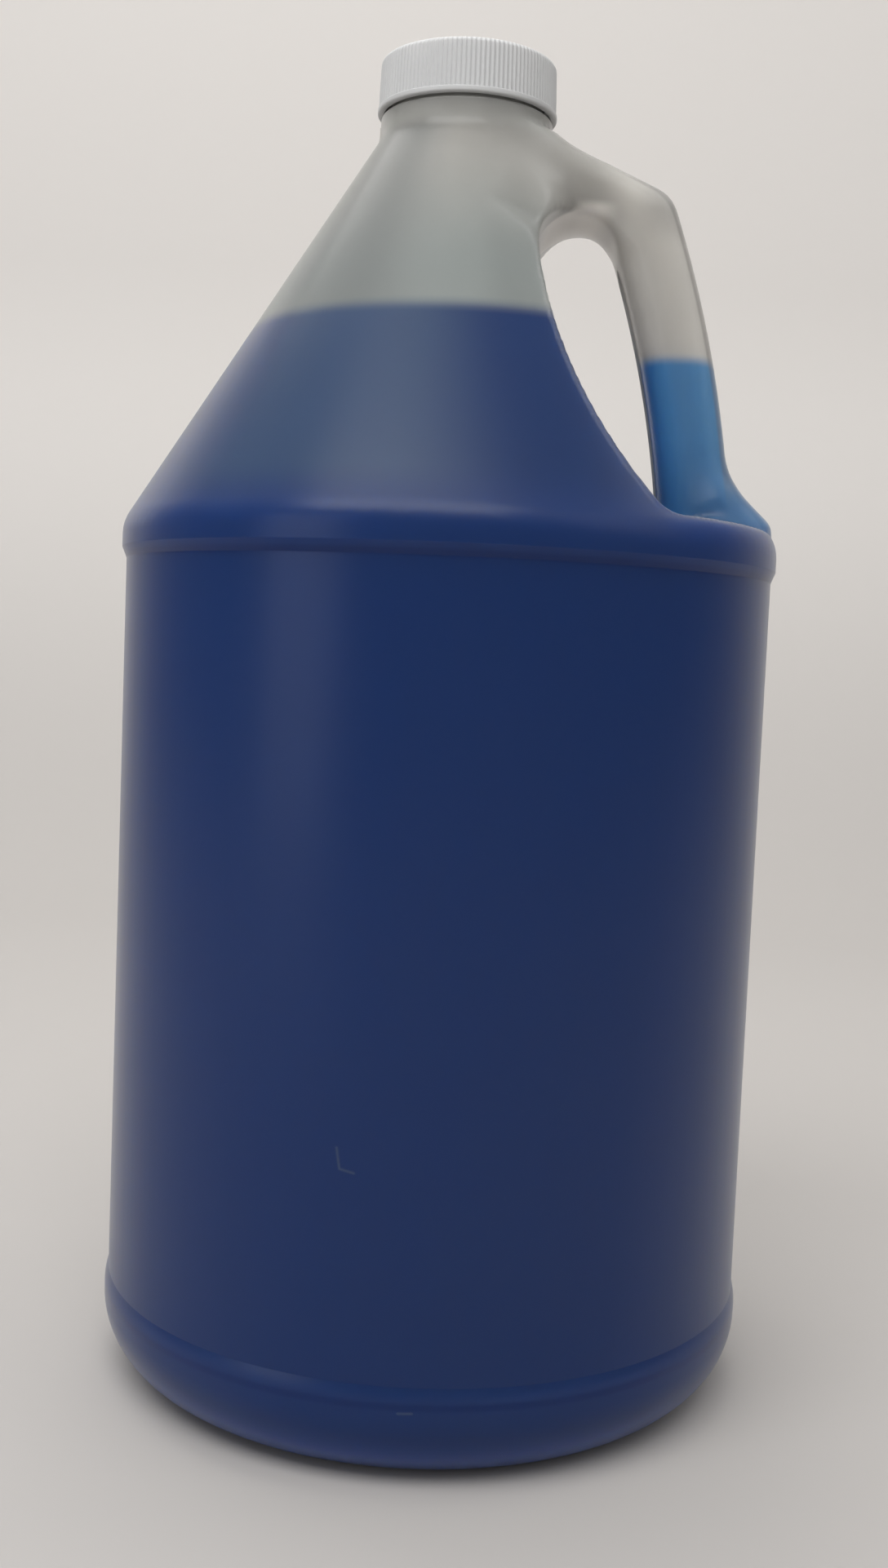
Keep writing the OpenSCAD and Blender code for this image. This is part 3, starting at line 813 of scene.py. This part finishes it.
def plastic(name, alpha, glow=0.0):
    """Milky wall, which takes the liquid's colour where the liquid wets it."""
    n = Nodes(name)
    x, _, z = n.xyz
    in_grip = n.ramp(x, 0.026, 0.036)
    soft = n.math("MULTIPLY_ADD", in_grip, -0.0004, 0.0021)
    line = n.math("MULTIPLY_ADD", in_grip, -0.0030, LINE_Z * MM)
    wet = n.ramp(z, n.math("ADD", line, soft), n.math("SUBTRACT", line, soft))
    cloud = n.noise(14.0, 3.0, 0.55, (1, 1, 0.35))
    lean = n.math("DIVIDE", x, n.math("SUBTRACT", (CONE_Z + BODY_R / CONE_TAN) * MM, z))
    outer, inner = grip_edges(n)
    # Painted shade along the handle's outline, on its dry and its wetted wall
    rim = n.product(n.ramp(outer, 0.0029, 0.0022), n.ramp(z, 0.204, 0.212),
                    n.ramp(x, 0.030, 0.046))
    colour = n.mix(wet, milk_colour(n, cloud, lean, inner, rim),
                   wet_colour(n, cloud, lean, inner, rim))
    height = n.math("MULTIPLY_ADD", n.noise(900.0, 2.0, 0.6), 0.12,
                    n.noise(38.0, 1.0, 0.4, (1, 1, 0.3)))
    return n.surface(
        Base_Color=colour, Roughness=n.ramp(cloud, 0.3, 0.7, 0.30, 0.37), IOR=1.5,
        Specular_IOR_Level=0.14, Alpha=alpha,
        Coat_Weight=1.0, Coat_Roughness=0.28, Coat_IOR=1.25,
        Subsurface_Weight=glow, Subsurface_Scale=0.03, Subsurface_Radius=(1.0, 1.0, 1.0),
        Normal=n.bump(height, 0.25, 0.0004))


def seam_material():
    """Flash at the mould's parting line, solid plastic that stays milky beside the liquid."""
    n = Nodes("seam_plastic")
    tone = n.mix(n.ramp(n.noise(120.0, 2.0), 0.35, 0.65), rgb(0.27, 0.285, 0.30),
                 rgb(0.32, 0.33, 0.34))
    on_body = n.ramp(n.math("ABSOLUTE", n.xyz[0]), 0.062, 0.070)
    tone = n.mix(on_body, tone, rgb(0.06, 0.09, 0.17))
    tone = n.mix(n.ramp(n.xyz[2], 0.236, 0.250), tone, rgb(0.50, 0.485, 0.455))
    return n.surface(Base_Color=tone, IOR=1.5, Specular_IOR_Level=0.2,
                     Roughness=n.ramp(n.noise(300.0), 0.3, 0.7, 0.36, 0.46))


def liquid_material():
    n = Nodes("blue_liquid")
    return n.surface(Base_Color=liquid_colour(n, grip_edges(n)[1]), Roughness=0.08, IOR=1.33,
                     Specular_IOR_Level=0.15)


def surface_material():
    """The liquid's still top, with a trace of a ripple."""
    n = Nodes("liquid_surface")
    return n.surface(Base_Color=rgb(0.02, 0.06, 0.22), Roughness=0.03, IOR=1.33,
                     Normal=n.bump(n.noise(60.0, 1.0), 0.1, 0.0003))


def cap_material():
    n = Nodes("cap_plastic")
    tone = n.mix(n.ramp(n.noise(45.0, 3.0), 0.35, 0.65), rgb(0.525, 0.53, 0.535),
                 rgb(0.565, 0.568, 0.572))
    return n.surface(Base_Color=tone, IOR=1.5,
                     Roughness=n.ramp(n.noise(160.0), 0.3, 0.7, 0.34, 0.44),
                     Normal=n.bump(n.noise(1400.0, 2.0), 0.15, 0.0002))


def foam_material():
    n = Nodes("foam")
    cells = n.node("ShaderNodeTexVoronoi", Scale=1800.0)
    n.put(cells.inputs["Vector"], n.place)
    tone = n.mix(n.ramp(n.noise(300.0), 0.3, 0.7), rgb(0.80, 0.80, 0.77), rgb(0.86, 0.86, 0.84))
    return n.surface(Base_Color=tone, Roughness=0.85,
                     Normal=n.bump(cells.outputs["Distance"], 0.4, 0.0003))


# ---- Pieces ----
def wall_skin(t, step):
    """One skin of the bottle from the centre of its base up to the neck, as a bmesh."""
    bm = shoulder_mesh(t, step, HIGH_CUT)
    low = max(boundary_rings(bm, LOW_CUT), key=len)
    for v in low:
        s = (BODY_R - t) / math.hypot(v.co.x, v.co.y)
        v.co.x, v.co.y = v.co.x * s, v.co.y * s
    turn(bm, low, lower_profile(t), close=True)
    return bm


def outline_flash(p):
    """The flash's height along the outline, taller round the handle."""
    on_handle = np.where(p[:, 0] > 0, fade(p[:, 1], 203, 212), 0)
    return FLASH_BODY + (FLASH_GRIP - FLASH_BODY) * on_handle


def hole_flash(p):
    """The flash's height round the hole: it sinks into the skin under the arch."""
    return FLASH_HOLE - 0.9 * fade(p[:, 1], 256, 264)


def make_bottle():
    bm = wall_skin(0.0, CELL_OUT)
    seam = bmesh.new()
    for line in parting_lines(bm):
        if line[:, 0].max() > PANEL_R:
            line = line[line[:, 1] < HIGH_CUT - 0.5]
            ridge(seam, line, 1, outline_flash, 1.2, 0.6)
        else:
            ridge(seam, line, -1, hole_flash, 1.4, 0.7)
    finish_piece(seam, "parting_line", [seam_material()], "bottle", None)
    high = max(boundary_rings(bm, HIGH_CUT), key=len)
    collar = fillet([[COLLAR_R, HIGH_CUT], [COLLAR_R, COLLAR_TOP], [NECK_R, COLLAR_TOP],
                     [NECK_R, COLLAR_TOP + 3], [NECK_R, RIM_Z], [NECK_R - 1, RIM_Z]],
                    [0.6, 0.5, 0.0, 0.5], 4)[1:]
    rim = turn(bm, high, collar)
    mouth = fillet([[NECK_R - 1, RIM_Z], [MOUTH_R, RIM_Z], [MOUTH_R, THROAT_Z]], [0.4], 4)[1:]
    turn(bm, rim, mouth)
    helix(bm, NECK_R, NECK_R + THREAD_H, 2.3, 1.2, THREAD_START, 0, 1.5)
    finish_piece(bm, "bottle_wall", [plastic("bottle_plastic", 0.8, 1.0)],
                 "bottle", "bottle")
    bm = wall_skin(WALL, CELL_IN)
    ring = max(boundary_rings(bm, HIGH_CUT), key=len)
    r0 = math.hypot(ring[0].co.x, ring[0].co.y)
    turn(bm, ring, fillet([[r0, HIGH_CUT], [MOUTH_R, HIGH_CUT + (r0 - MOUTH_R) / CONE_TAN],
                           [MOUTH_R, THROAT_Z]], [2.0], 4)[1:])
    finish_piece(bm, "bottle_inside", [plastic("bottle_inside", 0.3)],
                 "bottle", "bottle")


def make_liquid():
    bm = shoulder_mesh(WALL + FILL_GAP, CELL_IN, LINE_Z)
    low = max(boundary_rings(bm, LOW_CUT), key=len)
    turn(bm, low, lower_profile(WALL + FILL_GAP), close=True)
    for ring in boundary_rings(bm, LINE_Z):
        f = bm.faces.new(ring)
        f.material_index = 1
    bmesh.ops.triangulate(bm, faces=[f for f in bm.faces if len(f.verts) > 4])
    finish_piece(bm, "liquid_fill", [liquid_material(), surface_material()],
                 "bottle", "liquid")


def make_cap():
    ribs, per, rib_h = 120, 6, 0.3
    skirt, lip_h, draft, top_r, edge_r = COLLAR_TOP + 0.6, 1.3, 0.3, 20.2, 1.0
    bore, top_z, seat_z = NECK_R + THREAD_H + 0.4, RIM_Z + 2.19, RIM_Z + 1.0
    lip_r, rib_z, rib_top = top_r + draft + 0.2, skirt + lip_h, top_z - edge_r
    edge = arc([top_r - edge_r, rib_top], edge_r, 90, 0, 7)
    flank = [[top_r + draft * s, rib_top - (rib_top - rib_z) * s]
             for s in np.linspace(0, 1, 9)[1:]]
    lip = fillet([[top_r + draft, rib_z], [lip_r, rib_z - 0.15], [lip_r, skirt],
                  [bore + 0.3, skirt], [bore, skirt + 0.4]], [0.15, 0.45, 0.1], 4)
    inside = [[bore, z] for z in np.linspace(skirt + 0.8, RIM_Z + 0.6, 5)]
    under = [[r, seat_z] for r in (bore - 0.4, bore - 3, 8.0)]
    top = [[r, top_z] for r in (6.0, 12.0, 17.0, top_r - 1.6)]
    # The profile's points, each with the share of their depth that the ribs have there
    rows = ([(r, z, 0.0) for r, z in top]
            + [(r, z, min(i / 4, 1.0)) for i, (r, z) in enumerate(edge)]
            + [(r, z, 1.0) for r, z in flank]
            + [(r, z, 0.0) for part in (lip, inside, under) for r, z in part])
    n = ribs * per
    # Depth across one rib, from crest to valley and back
    depth = [0.0, 0.1, 0.75, 1.0, 0.75, 0.1]
    bm = bmesh.new()
    tip = bm.verts.new((0, 0, top_z))
    last = None
    for r, z, share in rows:
        ring = []
        for k in range(n):
            a, rk = 2 * math.pi * k / n, r - rib_h * share * depth[k % per]
            ring.append(bm.verts.new((rk * math.cos(a), rk * math.sin(a), z)))
        for k in range(n):
            j = (k + 1) % n
            bm.faces.new((tip, ring[k], ring[j]) if last is None
                         else (last[k], ring[k], ring[j], last[j]))
        last = ring
    end = bm.verts.new((0, 0, seat_z))
    for k in range(n):
        bm.faces.new((last[k], end, last[(k + 1) % n]))
    # The cap's thread follows the neck's helix, set down into the gap between its turns
    drop = 2.4
    start_z = skirt + 0.95 + 0.6
    a0 = 360 * (start_z - THREAD_START + drop) / PITCH
    helix(bm, bore, NECK_R + 0.4, 1.9, 0.9, start_z, a0, 1.25)
    finish_piece(bm, "screw_cap", [cap_material()], "cap", "cap", 50.0)


make_bottle()
make_liquid()
make_cap()
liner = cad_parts["liner"]
liner.data.materials.clear()
liner.data.materials.append(foam_material())


# ---- Floor, light and camera ----
def pale(name, low, high):
    """A matt pale surface, low on the floor and high up the wall behind the object."""
    n = Nodes(name)
    return n.surface(Base_Color=n.mix(n.ramp(n.xyz[2], 0.02, 0.45), low, high), Roughness=0.9,
                     Specular_IOR_Level=0.1)


def backdrop():
    """A floor that curves up into a wall behind the object."""
    half, front, back, height, bend = 3.0, -2.5, 1.1, 2.6, 0.5
    line = [(front, 0.0), (back - bend, 0.0)]
    line += [(back - bend + bend * math.sin(a), bend - bend * math.cos(a))
             for a in np.linspace(0, math.pi / 2, 13)[1:]]
    line.append((back, height))
    verts = [(sx * half, y, z) for y, z in line for sx in (-1, 1)]
    faces = [(2 * i, 2 * i + 1, 2 * i + 3, 2 * i + 2) for i in range(len(line) - 1)]
    mesh = bpy.data.meshes.new("floor")
    mesh.from_pydata(verts, [], faces)
    for f in mesh.polygons:
        f.use_smooth = True
    mesh.materials.append(pale("pale_floor", rgb(0.47, 0.45, 0.435),
                               rgb(0.70, 0.675, 0.655)))
    obj = bpy.data.objects.new("floor", mesh)
    bpy.context.scene.collection.objects.link(obj)


def lamp(name, place, aim, size, power, colour):
    """A soft rectangular lamp, turned to the point that it aims at."""
    data = bpy.data.lights.new(name, "AREA")
    data.shape = "RECTANGLE"
    data.size, data.size_y = size
    data.energy = power
    data.color = colour
    obj = bpy.data.objects.new(name, data)
    obj.location = place
    obj.rotation_euler = (Vector(aim) - Vector(place)).to_track_quat("-Z", "Y").to_euler()
    bpy.context.scene.collection.objects.link(obj)


def camera():
    """At the photograph's viewing angle, as fitted: the focal length is in the frame's pixels."""
    place, heading, pitch, roll = (0, -0.392, 0.16984), 0.0025, 0.0806, 0.0413
    sensor, focal, frame_height = 36.0, 2016.7, 1922
    f = Vector((math.sin(heading) * math.cos(pitch), math.cos(heading) * math.cos(pitch),
                -math.sin(pitch)))
    right = f.cross(Vector((0, 0, 1))).normalized()
    up = right.cross(f)
    r = right * math.cos(roll) + up * math.sin(roll)
    u = up * math.cos(roll) - right * math.sin(roll)
    data = bpy.data.cameras.new("camera")
    data.sensor_width = sensor
    data.lens = focal * sensor / frame_height
    data.clip_start = 0.01
    obj = bpy.data.objects.new("camera", data)
    axes = [(r[i], u[i], -f[i], place[i]) for i in range(3)]
    obj.matrix_world = Matrix(axes + [(0, 0, 0, 1)])
    bpy.context.scene.collection.objects.link(obj)
    bpy.context.scene.camera = obj


backdrop()
lamp("key", (-0.27, -0.77, 1.25), (0, 0, 0.15), (1.4, 0.7), 14.0, (1.0, 0.995, 0.985))
lamp("top", (-0.25, 0.5, 1.45), (0, 0, 0.15), (1.1, 1.1), 8.5, (1.0, 0.99, 0.97))
lamp("left", (-1.15, -1.0, 0.3), (0, 0, 0.05), (0.7, 1.0), 3.5, (0.97, 0.985, 1.0))
lamp("right", (1.35, -0.7, 1.1), (0, 0, 0.2), (1.2, 1.2), 3.2, (1.0, 0.985, 0.97))
lamp("rim", (-0.8, 0.85, 0.75), (0, 0, 0.2), (0.7, 0.9), 0.8, (1.0, 0.99, 0.97))
lamp("wall", (1.0, 0.35, 1.3), (0.9, 1.1, 0.4), (0.7, 0.7), 2.5, (1.0, 0.99, 0.97))
camera()


def surroundings():
    """A room that is bright overhead and behind the object, and dim at the sides and in front."""
    world = bpy.data.worlds.new("world")
    bpy.context.scene.world = world
    world.use_nodes = True
    tree = world.node_tree
    place = tree.nodes.new("ShaderNodeTexCoord")
    split = tree.nodes.new("ShaderNodeSeparateXYZ")
    tree.links.new(place.outputs["Generated"], split.inputs[0])
    total = None
    for axis, lo, hi, dim, bright in (("Z", 0.2, 0.8, 0.10, 0.55), ("Y", 0.2, 0.8, 0.10, 0.40)):
        ramp = tree.nodes.new("ShaderNodeMapRange")
        ramp.interpolation_type = "SMOOTHSTEP"
        for i, v in enumerate((lo, hi, dim, bright)):
            ramp.inputs[i + 1].default_value = v
        tree.links.new(split.outputs[axis], ramp.inputs[0])
        if total is None:
            total = ramp.outputs[0]
        else:
            add = tree.nodes.new("ShaderNodeMath")
            tree.links.new(total, add.inputs[0])
            tree.links.new(ramp.outputs[0], add.inputs[1])
            total = add.outputs[0]
    back = tree.nodes["Background"]
    back.inputs[0].default_value = rgb(0.98, 0.98, 0.97)
    tree.links.new(total, back.inputs[1])


surroundings()
bpy.context.scene.view_settings.view_transform = "Standard"
